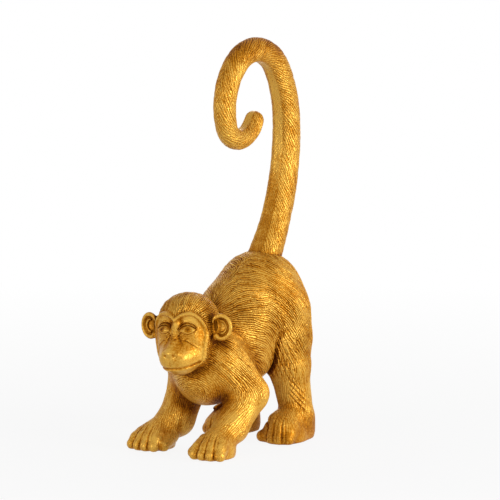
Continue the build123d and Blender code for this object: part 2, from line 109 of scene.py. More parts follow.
# Hands and feet, seen from the middle of the pad, with the fingers ahead along -Y: their spacing, reach,
# heights at knuckle and tip and radius, then the grooves between them, from back and top to front, and depth
HAND = {"pitch": 6.4, "reach": 18.0, "knuckle": 12.5, "tip": 5.3, "radius": 4.6,
        "groove_top": 20.0, "groove_back": 9.0, "groove_front": 18.0, "groove_depth": 0.55}
FOOT = {"pitch": 6.2, "reach": 16.8, "knuckle": 11.0, "tip": 5.05, "radius": 4.3,
        "groove_top": 25.0, "groove_back": 2.0, "groove_front": 17.0, "groove_depth": 0.65}
FINGERS = 4
NAIL_RADII, GREAT_NAIL_RADII = (2.7, 3.0, 2.4), (3.0, 3.2, 2.6)
# Middle of the back of a hand or foot, and how far its grooves reach
GRIP = np.array((0.0, -6.0, 8.0))
GRIP_REACH = 30.0

# Tail: lean from upright, a straight root, then bends of (radius, turn in degrees), all towards the head
TAIL_ALONG, TAIL_RISE = 95.4, 13.95
TAIL_LEAN = 29.0
TAIL_STRAIGHT = 22.0
TAIL_BENDS = ((190, 30.5), (90, 28.5), (32, 103), (48, 64), (15, 78), (22, 62))
TAIL_ROOT_RADIUS, TAIL_SHAFT_RADIUS, TAIL_TIP_RADIUS = 14.6, 11.9, 7.6
TAIL_FLARE_LENGTH, TAIL_TAPER_POWER = 55.0, 1.5
TAIL_BAND, TAIL_BAND_EDGE = math.radians(23), 0.06
TAIL_FUR = 0.6
TAIL_ROWS_PER_MM, TAIL_COLUMNS, TAIL_DOME_ROWS = 2.2, 128, 16

# Castings: how far one laps under its neighbour and how steeply it dips there, the mesh cell of each, and the
# room left around a node's box
LAP, LAP_DIP = 3.0, 0.25
CELLS = {"trunk": 0.58, "head": 0.4, "arm": 0.42, "leg": 0.48}
ROOM = 9.0
# Walls that lie this share of LAP under a neighbour are hidden, and lose this share of their faces
HIDDEN_PAST, HIDDEN_THINNED = 0.75, 0.85
COARSEN = 1.0

# Fur: width of a strand, of a strand on the head and of a lock, how far they lift, and their kernels
STRAND, HEAD_STRAND, CLUMP = 1.65, 1.3, 6.0
STRAND_LIFT, LOCK_LIFT = 0.27, 0.4
KERNEL_REACH, KERNEL_TABLE = 4.6, 4096
KERNELS_PER_LAYER = 3
# Steps out from the skin at which a point looks for cover, and what each counts, for the brown wash and
# painted shade in folds
COVER_STEPS = ((0.7, 0.25), (1.5, 0.3), (4.0, 0.35), (9.0, 0.35))

# Paint
WORN_GOLD = (0.76, 0.43, 0.07, 1)
DEEP_GOLD = (0.49, 0.18, 0.005, 1)
BROWN = (0.12, 0.028, 0.0005, 1)

# The sculptor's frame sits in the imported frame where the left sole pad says
pad_low, pad_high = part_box("left_sole_pad")
pad_middle = (pad_low + pad_high) / 2 / MM
SOLE = LEGS[LEFT]["sole"]
SHIFT = np.array((pad_middle.x - SOLE[0], pad_middle.y - SOLE[1], 0.0))


# Small numeric helpers

def length(v):
    """Length of each row."""
    return np.sqrt(np.einsum("ij,ij->i", v, v))


def unit(v):
    """Each row over its length."""
    return v / np.maximum(length(v), 1e-9)[:, None]


def step(x, low, high):
    """Smooth 0 to 1 ramp, 3t^2 - 2t^3, between low and high."""
    t = np.clip((x - low) / (high - low), 0, 1)
    return t * t * (3 - 2 * t)


def bump(x, width):
    """Bell of height 1: e to the minus (x / width)^2."""
    return np.exp(-((x / width) ** 2))


def turned(p, place, yaw):
    """Points seen from a place that is turned by yaw about the upright axis."""
    q = p - np.asarray(place)
    c, s = math.cos(yaw), math.sin(yaw)
    return np.stack((c * q[:, 0] + s * q[:, 1], c * q[:, 1] - s * q[:, 0], q[:, 2]), 1)


def head_view(p):
    """Points seen from the middle of the skull, in the head's turn and roll."""
    q = turned(p, HEAD, HEAD_YAW)
    c, s = math.cos(HEAD_ROLL), math.sin(HEAD_ROLL)
    return np.stack((c * q[:, 0] + s * q[:, 2], q[:, 1], c * q[:, 2] - s * q[:, 0]), 1)


# Distance to simple solids, negative inside

def egg(p, centre, radii):
    """Near distance to an ellipsoid: k(k - 1) / m, where k is the length of the point over the radii and m
    of it over the radii squared."""
    q = (p - np.asarray(centre)) / np.asarray(radii)
    k = length(q)
    return k * (k - 1) / np.maximum(length(q / np.asarray(radii)), 1e-6)


def bone(p, start, start_radius, end, end_radius):
    """Distance to a tapered rod with ball ends: to the nearest point of its line, less the radius there."""
    start = np.asarray(start, float)
    line = np.asarray(end, float) - start
    t = np.clip((p - start) @ line / (line @ line), 0, 1)
    return length(p - start - t[:, None] * line) - (start_radius + t * (end_radius - start_radius))


def joined(a, b, blend):
    """Union with a fillet: the lesser distance, lowered by up to a quarter of blend where the two are
    equal."""
    h = np.clip(0.5 + 0.5 * (b - a) / blend, 0, 1)
    return b + (a - b) * h - blend * h * (1 - h)


def cut(a, b, blend):
    """What is left of a outside b, with a rounded edge."""
    return -joined(-a, b, blend)


def near(p, centre, reach, form):
    """form's distance at the points near a ball around it, and the ball's distance elsewhere."""
    d = length(p - np.asarray(centre)) - reach
    close = d < 25
    if close.any():
        d[close] = form(p[close])
    return d


def where_near(p, centre, reach, relief):
    """relief's height at the points within reach of a centre, and 0 elsewhere."""
    h = np.zeros(len(p))
    close = np.flatnonzero(length(p - np.asarray(centre)) < reach)
    if len(close):
        h[close] = relief(p[close])
    return h


# The monkey's forms

def trunk_point(along, rise=0.0, side=0.0):
    """Point at a distance along the trunk's axis from the chest, above it and to the left of it."""
    return CHEST + along * TRUNK_AXIS + rise * TRUNK_UP + side * SIDEWAYS


def shoulder_point(side):
    """Middle of the shoulder on a side."""
    return trunk_point(SHOULDER[0], SHOULDER[1], side * SHOULDER[2])


def hip_point(side):
    """Middle of the hip on a side."""
    return trunk_point(HIP[0], HIP[1], side * HIP[2])


def trunk_form(p):
    """Chest, waist and rump as two tapered rods, with the breast and the belly that hang below them as
    eggs."""
    waist, rump = trunk_point(*WAIST), trunk_point(*RUMP)
    front = bone(p, CHEST, CHEST_RADIUS, waist, WAIST_RADIUS)
    rear = bone(p, waist, WAIST_RADIUS, rump, RUMP_RADIUS)
    breast = egg(p, trunk_point(*BREAST), BREAST_RADII)
    belly = egg(p, trunk_point(*BELLY), BELLY_RADII)
    return joined(joined(joined(front, rear, 4.0), breast, 5.0), belly, 5.0)


def finger_row(q, paw):
    """Fingers or toes that fan out ahead, each two rods bent at the middle joint with a nail on the tip,
    joined with a crease between them."""
    radius = paw["radius"]
    d = None
    for i in range(FINGERS):
        offset = (i - (FINGERS - 1) / 2) * paw["pitch"]
        tip = np.array((offset * 1.1, abs(offset) * 0.25 - paw["reach"], paw["tip"]))
        knuckle = np.array((offset * 0.85, -paw["reach"] * 0.42, paw["knuckle"]))
        middle = 0.45 * knuckle + 0.55 * tip + np.array((0, 0, 1.1))
        back = bone(q, knuckle, radius, middle, radius * 1.02)
        front = bone(q, middle, radius * 1.02, tip, radius * 0.97)
        nail = egg(q, tip + np.array((0, -0.6, 1.9)), NAIL_RADII)
        finger = joined(joined(back, front, 1.5), nail, 0.8)
        d = finger if d is None else joined(d, finger, 2.4)
    return d


def finger_grooves(q, paw):
    """Depth of the grooves that fan out over the back of a hand or foot between its fingers: bells about
    lines that spread from the wrist to the tips, deeper towards the tips."""
    top, back, pitch = paw["groove_top"], paw["groove_back"], paw["pitch"]
    down = (top - q[:, 2]) / (top - 5)
    ahead = (back - q[:, 1]) / (back + paw["groove_front"])
    way = np.clip(0.5 * down + 0.5 * ahead, 0, 1)
    across = q[:, 0] / (0.5 + 0.6 * way)
    lines = np.zeros(len(q))
    for gap in (-1, 0, 1):
        lines += bump(across - gap * pitch, 0.55) + 0.4 * bump(across - (gap + 0.45) * pitch, 0.4)
    fade = step(q[:, 2], 2.0, 4.5) * step(-length(q - GRIP), -GRIP_REACH, -24)
    return paw["groove_depth"] * lines * step(way, 0.12, 0.5) * fade


def hand_form(p, arm, inner):
    """Palm, four fingers ahead and a thumb on the inner side."""
    q = turned(p, arm["palm"], arm["yaw"])
    palm = egg(q, (0, 0, 6.5), (14.8, 17.3, 15))
    thumb = bone(q, (inner * 10.5, 4.5, 11), 7, (inner * 14.8, -9, 5.3), 4.6)
    thumb = joined(thumb, egg(q, (inner * 15, -9.6, 7.2), NAIL_RADII), 0.8)
    return joined(joined(palm, finger_row(q, HAND), 4.0), thumb, 2.0)


def foot_form(p, leg, inner):
    """Heel and sole, four toes ahead and a great toe on the inner side."""
    q = turned(p, leg["sole"], leg["yaw"])
    sole = joined(egg(q, (0, 0, 5), (15, 21, 13)), egg(q, (0, 17, 8), (12.8, 12.8, 15.7)), 6.0)
    great = bone(q, (inner * 8.7, 0, 7.5), 5.2, (inner * 14.6, -13.6, 5.2), 4.7)
    great = joined(great, egg(q, (inner * 14.9, -14.4, 7.2), GREAT_NAIL_RADII), 0.8)
    return joined(joined(sole, finger_row(q, FOOT), 4.0), great, 3.0)


def arm_form(p, side):
    """Shoulder, upper arm, forearm and wrist as tapered rods, with the hand, flat where the felt pad
    lies."""
    arm = ARMS[side]
    palm_top = np.array(arm["palm"]) + np.array((0, 0, PALM_TOP))
    elbow, top, bottom, wrist = arm["forearm"]
    d = bone(p, shoulder_point(side), SHOULDER_RADIUS, arm["elbow"], elbow)
    d = joined(d, bone(p, arm["elbow"], top, arm["wrist"], bottom), 5.0)
    d = joined(d, bone(p, arm["wrist"], wrist, palm_top, PALM_TOP_RADIUS), 5.0)
    hand = near(p, np.array(arm["palm"]) + (0, -5, 6), 26, lambda q: hand_form(q, arm, -side))
    d = joined(d, hand, 4.0)
    place = turned(p, arm["palm"], arm["yaw"])
    d += where_near(place, GRIP, GRIP_REACH, lambda q: finger_grooves(q, HAND))
    return cut(d, p[:, 2] - PAD_THICKNESS, PAD_EDGE)


def shin_relief(q, side):
    """Depth of the short creases down the outer front of the shin and of the long strands down the front of
    the thigh, both slanting down and outwards: bells and waves about evenly spaced lines."""
    outward = 0.78 * side * q[:, 0] + 0.63 * q[:, 1]
    facing = 0.63 * side * q[:, 0] - 0.78 * q[:, 1]
    crease = q[:, 2] - 19.5 + 1.1 * outward
    depth = np.zeros(len(q))
    for gap in (-8.4, -4.2, 0, 4.2):
        depth += bump(crease - gap, 0.9) - 0.5 * bump(crease - gap - 2.0, 0.9)
    depth *= 0.45 * step(facing, 4, 8) * step(-np.abs(outward), -8, -4)
    slant = (q[:, 2] + 2.0 * outward) / 2.24
    strand = np.sin(slant * 2 * math.pi / 3.6 + 1.2 * drift(q, 15))
    region = step(q[:, 2], 26, 36) * step(-q[:, 2], -70, -56) * step(-q[:, 1], 9, 16) * step(facing, 4, 10)
    return depth + 0.42 * np.clip(strand, -0.2, 1) ** 2 * region


def leg_form(p, side):
    """Haunch, thigh and shin as tapered rods, with the foot, flat where the felt pad lies."""
    leg = LEGS[side]
    hip = hip_point(side)
    instep = np.array(leg["sole"]) + (0, -8, 14)
    thigh = 0.5 * (hip + np.array(leg["knee"]))
    haunch = bone(p, hip, HIP_RADIUS, thigh, THIGH_RADIUS)
    d = joined(haunch, bone(p, thigh, THIGH_RADIUS, leg["knee"], KNEE_RADIUS), 3.0)
    d = joined(d, bone(p, leg["knee"], SHIN_TOP_RADIUS, leg["ankle"], SHIN_FOOT_RADIUS), 8.0)
    d = joined(d, bone(p, leg["ankle"], ANKLE_RADIUS, instep, INSTEP_RADIUS), 4.0)
    foot = near(p, np.array(leg["sole"]) + (0, 0, 6), 32, lambda q: foot_form(q, leg, -side))
    d = joined(d, foot, 6.0)
    place = turned(p, leg["sole"], leg["yaw"])
    d += where_near(place, GRIP, GRIP_REACH, lambda q: finger_grooves(q, FOOT))
    d += where_near(p - np.array(leg["ankle"]), (0, -12, 38), 45, lambda q: shin_relief(q, side))
    return cut(d, p[:, 2] - PAD_THICKNESS, PAD_EDGE)


def ear_view(q, side):
    """Points of the head seen from the middle of an ear, with the way out from the head as the first
    axis."""
    e = turned(q, (side * EAR_OUT, EAR_FORWARD, EAR_HEIGHT), side * EAR_TURN)
    e[:, 0] *= side
    return e


def ear_form(q, side):
    """Rounded shell on a broad root: a thin disc hollowed at the front, with a rolled rim, an inner fold
    and a lobe, the rim and the fold as rings of a round section."""
    e = ear_view(q, side)
    shell = egg(e, (0, 0, 0), (8.4, 2.4, 9.6))
    shell = cut(shell, egg(e, (-0.6, -2.9, 0.2), (6.8, 4.0, 8.0)), 0.7)
    around = np.sqrt((e[:, 0] / 7.5) ** 2 + (e[:, 2] / 8.8) ** 2)
    rim = np.sqrt(((around - 1) * 8.0) ** 2 + (e[:, 1] + 1.2) ** 2) - 1.5
    rim = np.maximum(rim, -5.6 - e[:, 0] - 0.25 * e[:, 2])
    fold = np.sqrt(((around - 0.55) * 8.0) ** 2 + (e[:, 1] + 0.4) ** 2) - 0.9
    fold = np.maximum(fold, -0.6 - e[:, 0])
    root = egg(e, (-7.6, 1.2, -0.4), (6.0, 2.6, 8.4))
    lobe = egg(e, (-4.4, -0.8, -7.2), (2.8, 1.8, 2.6))
    d = joined(joined(shell, rim, 0.7), fold, 0.6)
    d = joined(joined(d, root, 1.2), lobe, 0.9)
    return cut(d, egg(e, (-4.3, -1.8, 1.0), (1.5, 3.2, 5.0)), 0.6)


def mask_edge(z):
    """Half width of the bare face at a height, on the wrapped face."""
    return np.interp(z, EDGE_HEIGHTS, EDGE_WIDTHS)


def face_place(q):
    """Place on the face as (distance round it from the middle line, height)."""
    return FACE_WRAP * np.arctan2(q[:, 0], -q[:, 1]), q[:, 2]


def above_brow(a, z):
    """Distance above the brow line, which dips between the eyes, stands highest over each eye and falls
    away to the edge of the face: its height there less two powers of the way from the top, over the length
    of its slope."""
    inner = np.clip((BROW_OUT - a) / BROW_OUT, 0, None)
    outer = np.clip((a - BROW_OUT) / BROW_REACH, 0, 1.2)
    line = BROW_HEIGHT - 4.4 * inner ** 2 - 16.0 * outer ** 2.1
    rise = 0.8 * inner - 2.35 * outer ** 1.1
    return (z - line) / np.sqrt(1 + rise ** 2)


def within_face(a, z):
    """Distance inside the border of the bare face: to its edge or its brow line, with a rounded corner."""
    return joined(mask_edge(z) - a, -above_brow(a, z), 6.0)


def bare_face(q):
    """1 on the bare face, 0 on the furred head."""
    u, z = face_place(q)
    inside = within_face(np.abs(u), z)
    return step(inside, -1.6, 0.4) * step(-q[:, 1], 0, 5) * step(z, -40.0, -37.0)


def eye_opening(a, z):
    """How far inside the almond of the eye a place is: half its height there, less the height above its
    middle."""
    t = (a - EYE_OUT) / EYE_HALF_WIDTH
    half_height = EYE_HALF_HEIGHT * np.sign(1 - t * t) * np.abs(1 - t * t) ** 0.8
    return half_height - np.abs(z - EYE_HEIGHT - EYE_SLANT * (a - EYE_OUT))


def from_iris(a, z):
    """Distance from the middle of the iris."""
    return np.sqrt((a - IRIS_OUT) ** 2 + (z - IRIS_HEIGHT) ** 2)


def border_relief(a, z):
    """Raised edge of the face and its brow: a bell along the border, higher over the eyes, with a line cut
    along it and a groove outside it."""
    inside = within_face(a, z)
    border = bump(inside - 1.0, 1.4) * (1.4 + 1.0 * step(z, -8.0, 0.0))
    border -= 0.45 * bump(inside - 1.2, 0.45) + 0.6 * bump(inside + 1.0, 0.6)
    return border * step(z, -36.0, -31.0)


def eye_relief(a, z):
    """Eyes: a sunk socket, a ball that rises as the root of the way into the almond, a lid around it that
    is fuller above, a fold over the lid, the rim of the iris and the pupil, and two bags below."""
    h = -2.8 * bump(a - 8.6, 6.0) * bump(z - 0.2, 4.2) - 1.8 * bump(a - 4.4, 2.2) * bump(z + 0.2, 4.0)
    h += 0.7 * bump(a - 12.0, 3.2) * bump(z - 0.6, 2.2)
    opening = eye_opening(a, z)
    beside = step(-np.abs(a - EYE_OUT), -8.2, -6.0)
    over_eye = step(z, -5.4, -4.0)
    h += 2.5 * np.sqrt(np.clip(opening / EYE_HALF_HEIGHT, 0, 1))
    h += (0.7 + 0.8 * over_eye) * bump(opening + 0.85, 0.65) * beside
    h += (0.6 * bump(opening + 2.9, 0.7) - 0.25 * bump(opening + 2.0, 0.4)) * beside * over_eye
    iris = from_iris(a, z)
    h -= (0.5 * bump(iris, 0.75) + 0.35 * bump(iris - 2.0, 0.35)) * step(opening, 0.0, 0.6)
    bag = step(-z, 5.5, 7.5) * step(-a, -16.0, -12.0) * step(a, 3.0, 5.0)
    return h + (0.5 * bump(opening + 2.7, 0.55) + 0.4 * bump(opening + 4.5, 0.6)) * bag


def cheek_relief(a, z):
    """Cheeks: a fold that slants down from the eye, a crease beside the nose's root, and a hollow at the
    side."""
    fold = z + 0.8 * (a - 5.5) + 8.6
    h = 0.6 * bump(fold + 1.4, 0.6) * step(a, 3.5, 6.0) * step(-a, -17.0, -13.0) * step(-z, 8.0, 10.0)
    root = (a - 1.0 - 0.8 * (z + 12)) * 0.78
    h -= 0.6 * bump(root, 0.6) * step(z, -13.5, -11.5) * step(-z, 5.5, 7.0)
    return h - 0.8 * bump(a - 19.0, 4.0) * bump(z + 12.0, 8.0)


def nose_relief(u, z):
    """Nose: a bridge that widens downwards with a groove on each side and wrinkles across it, a tip with
    wings, nostrils, and the groove below it."""
    a = np.abs(u)
    wing = 1.5 + 2.6 * step(-z, 6.0, 20.0)
    h = 1.5 * bump(u, wing) * step(-z, 1.5, 7.0) * step(z, -25.5, -21.5)
    h -= 0.55 * bump(a - 2.6 + 0.42 * (z + 8), 0.7) * step(-z, 7.0, 9.0) * step(z, -19.0, -15.0)
    wrinkle = bump(np.sin((z + 9.0 + 0.3 * a) * 1.9), 0.6) * step(-z, 5.0, 7.0) * step(z, -16.0, -13.0)
    h += 0.45 * bump(u, 4.0) * wrinkle
    h += 0.9 * bump(u, 3.0) * bump(z + 20.6, 2.4) + 0.7 * bump(a - 4.3, 1.3) * bump(z + 22.0, 2.0)
    h -= 1.2 * bump(a - 2.2, 0.85) * bump(z + 23.2, 1.0)
    return h - 0.35 * bump(u, 0.6) * step(-z, 24.5, 26.0) * step(z, -33.0, -31.0)


def mouth_relief(u, z):
    """Mouth: two lips as bells on each side of a line that curves up, and a swelling beside the nose."""
    a = np.abs(u)
    mouth = z - (MOUTH_HEIGHT + MOUTH_CURVE * u * u)
    lips = 0.35 * bump(mouth - 1.6, 1.3) + 0.7 * bump(mouth + 1.7, 1.2) - 0.45 * bump(mouth, 0.5)
    return lips * step(-a, -20.0, -16.5) + 0.8 * bump(a - 6, 4.0) * bump(z + 27, 5.0)


def face_relief(q):
    """Height of the modelling on the face: the sum of its border, eyes, cheeks, nose and mouth."""
    u, z = face_place(q)
    a = np.abs(u)
    h = border_relief(a, z) + eye_relief(a, z) + cheek_relief(a, z) + nose_relief(u, z) + mouth_relief(u, z)
    return h * step(-q[:, 1], -4, 4)


def face_tone_and_shade(p):
    """Darker on the iris and about the nose, and painted shade in the socket beside the nose and on the
    cheeks, as bells on the face, and the lower edge of the eye cleared of it."""
    q = head_view(p)
    u, z = face_place(q)
    a = np.abs(u)
    opening = eye_opening(a, z)
    eye = 0.8 * bump(from_iris(a, z), 1.7) * step(opening, -0.2, 0.6)
    eye -= 0.3 * bump(opening, 0.6) * step(-z, 4.0, 6.0)
    # The cheek bell here and the socket bell below are painted shade; the iris and nose bells are darker tone
    tone_and_shade = eye * step(-np.abs(a - EYE_OUT), -7.5, -6.0) + 0.3 * bump(a - 19.0, 4.5) * bump(z + 9.0, 9.0)
    tone_and_shade += 0.35 * bump(a - 4.6, 2.2) * bump(z - 0.5, 4.5)
    tone_and_shade += 0.3 * bump(a - 4.0, 3.0) * bump(z + 16.5, 5.0)
    return tone_and_shade * step(-q[:, 1], 2, 6)


def head_form(p):
    """Skull, cheeks, jaw, muzzle and chin as joined eggs with the face's modelling on them, ears and
    neck."""
    q = head_view(p)
    d = joined(egg(q, SKULL, SKULL_RADII), egg(q, CHEEKS, CHEEK_RADII), 5.0)
    d = joined(d, egg(q, JAW, JAW_RADII), 5.0)
    d = joined(d, egg(q, MUZZLE, MUZZLE_RADII), 5.0)
    d = joined(d, egg(q, CHIN, CHIN_RADII), 3.0)
    d -= where_near(q, (0, -24, -14), 44, face_relief)
    for side in (LEFT, RIGHT):
        d = joined(d, near(q, (side * 30, -4, -4), 16, lambda e: ear_form(e, side)), 1.2)
    neck = bone(p, trunk_point(*NECK_ROOT), NECK_ROOT_RADIUS, HEAD + (0, 8, -8), NECK_TOP_RADIUS)
    return joined(d, neck, 6.0)


# Each form within a ball around it, and the fillet with which it joins those before it
FORMS = {
    "trunk": trunk_form,
    "left_arm": lambda p: near(p, (28, -12, 38), 58, lambda q: arm_form(q, LEFT)),
    "right_arm": lambda p: near(p, (-28, -12, 38), 58, lambda q: arm_form(q, RIGHT)),
    "left_leg": lambda p: near(p, (24, 50, 62), 82, lambda q: leg_form(q, LEFT)),
    "right_leg": lambda p: near(p, (-24, 50, 62), 82, lambda q: leg_form(q, RIGHT)),
    "head": lambda p: near(p, HEAD + (0, 0, -8), 48, head_form),
}
FILLETS = {"left_arm": 10.0, "right_arm": 10.0, "left_leg": 8.0, "right_leg": 8.0, "head": 5.0}
TRUNK_ROW, LEFT_LEG_ROW, RIGHT_LEG_ROW = 0, 3, 4


def forms_at(p):
    """Every form's distance at the points, one row a form."""
    return np.stack([form(p) for form in FORMS.values()])


def whole(rows):
    """Distance to the whole animal: the trunk, and the other forms joined to it one after the other."""
    d = rows[TRUNK_ROW]
    for row, blend in zip(rows[1:], FILLETS.values()):
        d = joined(d, row, blend)
    return d


def flank_crease(p, rows):
    """Depth of the crease between the flank and the front of each thigh: a bell about the line where the
    two forms are equally near."""
    trunk, left_leg, right_leg = rows[TRUNK_ROW], rows[LEFT_LEG_ROW], rows[RIGHT_LEG_ROW]
    apart = np.minimum(np.abs(trunk - left_leg), np.abs(trunk - right_leg))
    front = step(p[:, 1], 12, 20) * step(-p[:, 1], -46, -36)
    return 2.4 * bump(apart, 2.4) * front * step(-p[:, 2], -100, -86)


def animal(p):
    """Every form's distance at the points, and the distance to the whole animal."""
    rows = forms_at(p)
    return rows, whole(rows) + flank_crease(p, rows)


def past_joint(rows, index):
    """How far past the joint line with its nearest neighbour a casting is at the points."""
    return rows[index] - np.delete(rows, index, 0).min(0)


def share_field(name):
    """Distance to one casting: the animal's own skin where this form is the nearest, dipping under its
    neighbour past the joint line by a share of the way, and ended where it laps the neighbour by LAP."""
    index = list(FORMS).index(name)

    def field(p):
        rows, d = animal(p)
        past = past_joint(rows, index)
        return np.maximum(d + LAP_DIP * np.maximum(past, 0), past - LAP)

    return field


# Skin of a distance field as a mesh

def sampled(field, low, cell, counts):
    """The field on a box grid. Blocks whose middle is far from the skin keep the middle's value."""
    block = 8
    blocks = [-(-(n - 1) // block) for n in counts]
    values = np.empty([b * block + 1 for b in blocks], np.float32)
    axes = [np.arange(b) * block for b in blocks]
    corner = np.stack(np.meshgrid(*axes, indexing="ij"), -1).reshape(-1, 3)
    middle = field(low + (corner + block / 2) * cell)
    spread = np.repeat(np.repeat(np.repeat(middle.reshape(blocks), block, 0), block, 1), block, 2)
    values[:] = np.pad(spread, ((0, 1), (0, 1), (0, 1)), mode="edge")
    close = corner[np.abs(middle) < block * cell * 1.1 + 2.5]
    offsets = np.stack(np.meshgrid(*[np.arange(block + 1)] * 3, indexing="ij"), -1).reshape(-1, 3)
    for part in np.array_split(close, max(1, len(close) // 400)):
        index = (part[:, None, :] + offsets).reshape(-1, 3)
        values[index[:, 0], index[:, 1], index[:, 2]] = field(low + index * cell)
    return values


def skin(values, low, cell):
    """Surface net of a sampled field: one point in every cell that the skin crosses, at the mean of the
    crossings on its edges, and one four-sided face for every grid edge that the skin crosses."""
    inside = values < 0
    corners = np.stack(np.meshgrid(*[np.arange(2)] * 3, indexing="ij"), -1).reshape(-1, 3)
    size = [n - 1 for n in inside.shape]
    count = np.zeros(size, np.uint8)
    for c in corners:
        count += inside[c[0]:c[0] + size[0], c[1]:c[1] + size[1], c[2]:c[2] + size[2]]
    crossed = (count > 0) & (count < 8)
    number = np.full(size, -1, np.int64)
    number[crossed] = np.arange(crossed.sum())
    cells = np.argwhere(crossed)
    total = np.zeros((len(cells), 3))
    found = np.zeros(len(cells))
    for a in corners:
        for axis in range(3):
            if a[axis]:
                continue
            b = a.copy()
            b[axis] = 1
            fa = values[tuple((cells + a).T)]
            fb = values[tuple((cells + b).T)]
            hit = (fa < 0) != (fb < 0)
            t = np.where(hit, fa / np.where(hit, fa - fb, 1), 0)
            total += np.where(hit[:, None], a + t[:, None] * (b - a), 0)
            found += hit
    points = low + (cells + total / found[:, None]) * cell
    faces = []
    for axis in range(3):
        u, v = (axis + 1) % 3, (axis + 2) % 3
        lower = np.take(inside, range(0, inside.shape[axis] - 1), axis)
        upper = np.take(inside, range(1, inside.shape[axis]), axis)
        edges = np.argwhere(lower != upper)
        out = lower[tuple(edges.T)]
        du, dv = np.eye(3, dtype=int)[u], np.eye(3, dtype=int)[v]
        around = [edges - s * du - t * dv for s, t in ((1, 1), (0, 1), (0, 0), (1, 0))]
        ring = np.stack([number[tuple(cell_index.T)] for cell_index in around], 1)
        ring[~out] = ring[~out][:, ::-1]
        faces.append(ring)
    return points, np.concatenate(faces)


def slope(field, p, reach=0.15):
    """Unit gradient of a field, from its values at the four corners of a small tetrahedron."""
    corners = np.array(((1, 1, 1), (1, -1, -1), (-1, 1, -1), (-1, -1, 1)), float)
    return unit(sum(field(p + reach * c)[:, None] * c for c in corners))


def field_surface(name, field, cell):
    """Points, faces and outward directions of a field's skin, in the box of a node with some room around
    it."""
    low, high = (np.array(corner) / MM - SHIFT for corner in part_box(name))
    low, high = low - ROOM, high + ROOM
    counts = np.ceil((high - low) / cell).astype(int) + 1
    points, faces = skin(sampled(field, low, cell, counts), low, cell)
    points = points - np.clip(field(points), -cell, cell)[:, None] * slope(field, points, cell)
    out = slope(field, points)
    return points - np.clip(field(points), -cell, cell)[:, None] * out, faces, out


# Fur

rng = np.random.default_rng(11)
WAVES = rng.normal(size=(10, 3))
WAVE_STARTS = rng.uniform(0, 2 * math.pi, 10)
KERNELS = rng.random((2 * KERNELS_PER_LAYER, KERNEL_TABLE, 4))
NEIGHBOURS = [(x, y, z) for x in (-1, 0, 1) for y in (-1, 0, 1) for z in (-1, 0, 1)]


def drift(p, size):
    """Slow noise about 0: the mean of ten sine waves of mixed directions, about size long."""
    return np.sin(p @ (WAVES.T * (2 * math.pi / size / 1.7)) + WAVE_STARTS).mean(1) * 2.2


def kernel_key(home):
    """Number of a cell's row in the table of kernels, from its three indices times large primes."""
    mixed = home[:, 0] * 73856093 ^ home[:, 1] * 19349663 ^ home[:, 2] * 83492791
    return mixed & (KERNEL_TABLE - 1)


def strands(p, across, along, out, spacing, layer):
    """Locks of hair as waves that run along the coat: every cell of space holds kernels, each a short plane
    wave across the coat that fades over its reach. Their sum gives a cosine and a sine of the place within
    a strand, and how clear the wave is."""
    reach = KERNEL_REACH * spacing
    cell = np.floor(p / reach).astype(np.int64)
    real = np.zeros(len(p))
    imaginary = np.zeros(len(p))
    for neighbour in NEIGHBOURS:
        home = cell + neighbour
        key = kernel_key(home)
        for kernel in KERNELS[layer * KERNELS_PER_LAYER:(layer + 1) * KERNELS_PER_LAYER]:
            seed = kernel[key]
            d = p - (home + seed[:, :3]) * reach
            hit = np.flatnonzero(np.einsum("ij,ij->i", d, d) < reach ** 2)
            d = d[hit]
            a = np.einsum("ij,ij->i", d, across[hit])
            b = np.einsum("ij,ij->i", d, along[hit])
            c = np.einsum("ij,ij->i", d, out[hit])
            far = (a / 0.6) ** 2 + b ** 2 + (c / 0.8) ** 2
            weight = np.clip(1 - far / reach ** 2, 0, 1) ** 2
            phase = 2 * math.pi * (a / spacing + seed[hit, 3])
            real[hit] += weight * np.cos(phase)
            imaginary[hit] += weight * np.sin(phase)
    size = np.sqrt(real ** 2 + imaginary ** 2) + 1e-6
    return real / size, imaginary / size, np.clip(size / 0.5, 0, 1)


def trunk_flow(p):
    """Coat of the trunk: along the back near the spine, sweeping down round the flanks and round the rump,
    by an angle that grows with the way round from the spine."""
    rel = p - CHEST
    along = rel @ TRUNK_AXIS
    radial = unit(rel - along[:, None] * TRUNK_AXIS)
    cosine = radial @ TRUNK_UP
    around = radial * cosine[:, None] - TRUNK_UP
    around = around / np.maximum(length(around), 0.25)[:, None]
    angle = np.degrees(np.arccos(np.clip(cosine, -1, 1)))
    sweep = 18 + 62 * np.clip(angle / 95, 0, 1) + 12 * step(angle, 95, 150)
    sweep = np.radians(sweep + np.clip(82 - sweep, 0, None) * step(along, 58, 92))
    return TRUNK_AXIS * np.cos(sweep)[:, None] + around * np.sin(sweep)[:, None]


def limb_flow(p, top, joint, foot):
    """Coat of a limb: down the upper bone above the joint, down the lower bone below it."""
    top, joint, foot = (np.asarray(x, float) for x in (top, joint, foot))
    upper = (joint - top) / np.linalg.norm(joint - top)
    lower = (foot - joint) / np.linalg.norm(foot - joint)
    share = step(p[:, 2], joint[2] - 10, joint[2] + 12)[:, None]
    return upper * share + lower * (1 - share)


def head_flow(p):
    """Coat of the head: away from the middle of the face, over the crown and down the cheeks."""
    c, s = math.cos(HEAD_YAW), math.sin(HEAD_YAW)
    return unit(p - (HEAD + np.array((s * 30, -c * 30, -6))))


def coat_flow(p, rows):
    """Direction of the coat: each form's own, weighed by how near the form is."""
    flows = [trunk_flow(p)]
    for side in (LEFT, RIGHT):
        flows.append(limb_flow(p, shoulder_point(side), ARMS[side]["elbow"], ARMS[side]["palm"]))
    for side in (LEFT, RIGHT):
        flows.append(limb_flow(p, hip_point(side) - (0, 20, 0), LEGS[side]["knee"], LEGS[side]["ankle"]))
    flows.append(head_flow(p))
    weights = np.exp(-(rows - rows.min(0)) / 6.0)
    return sum(w[:, None] * f for w, f in zip(weights, flows))


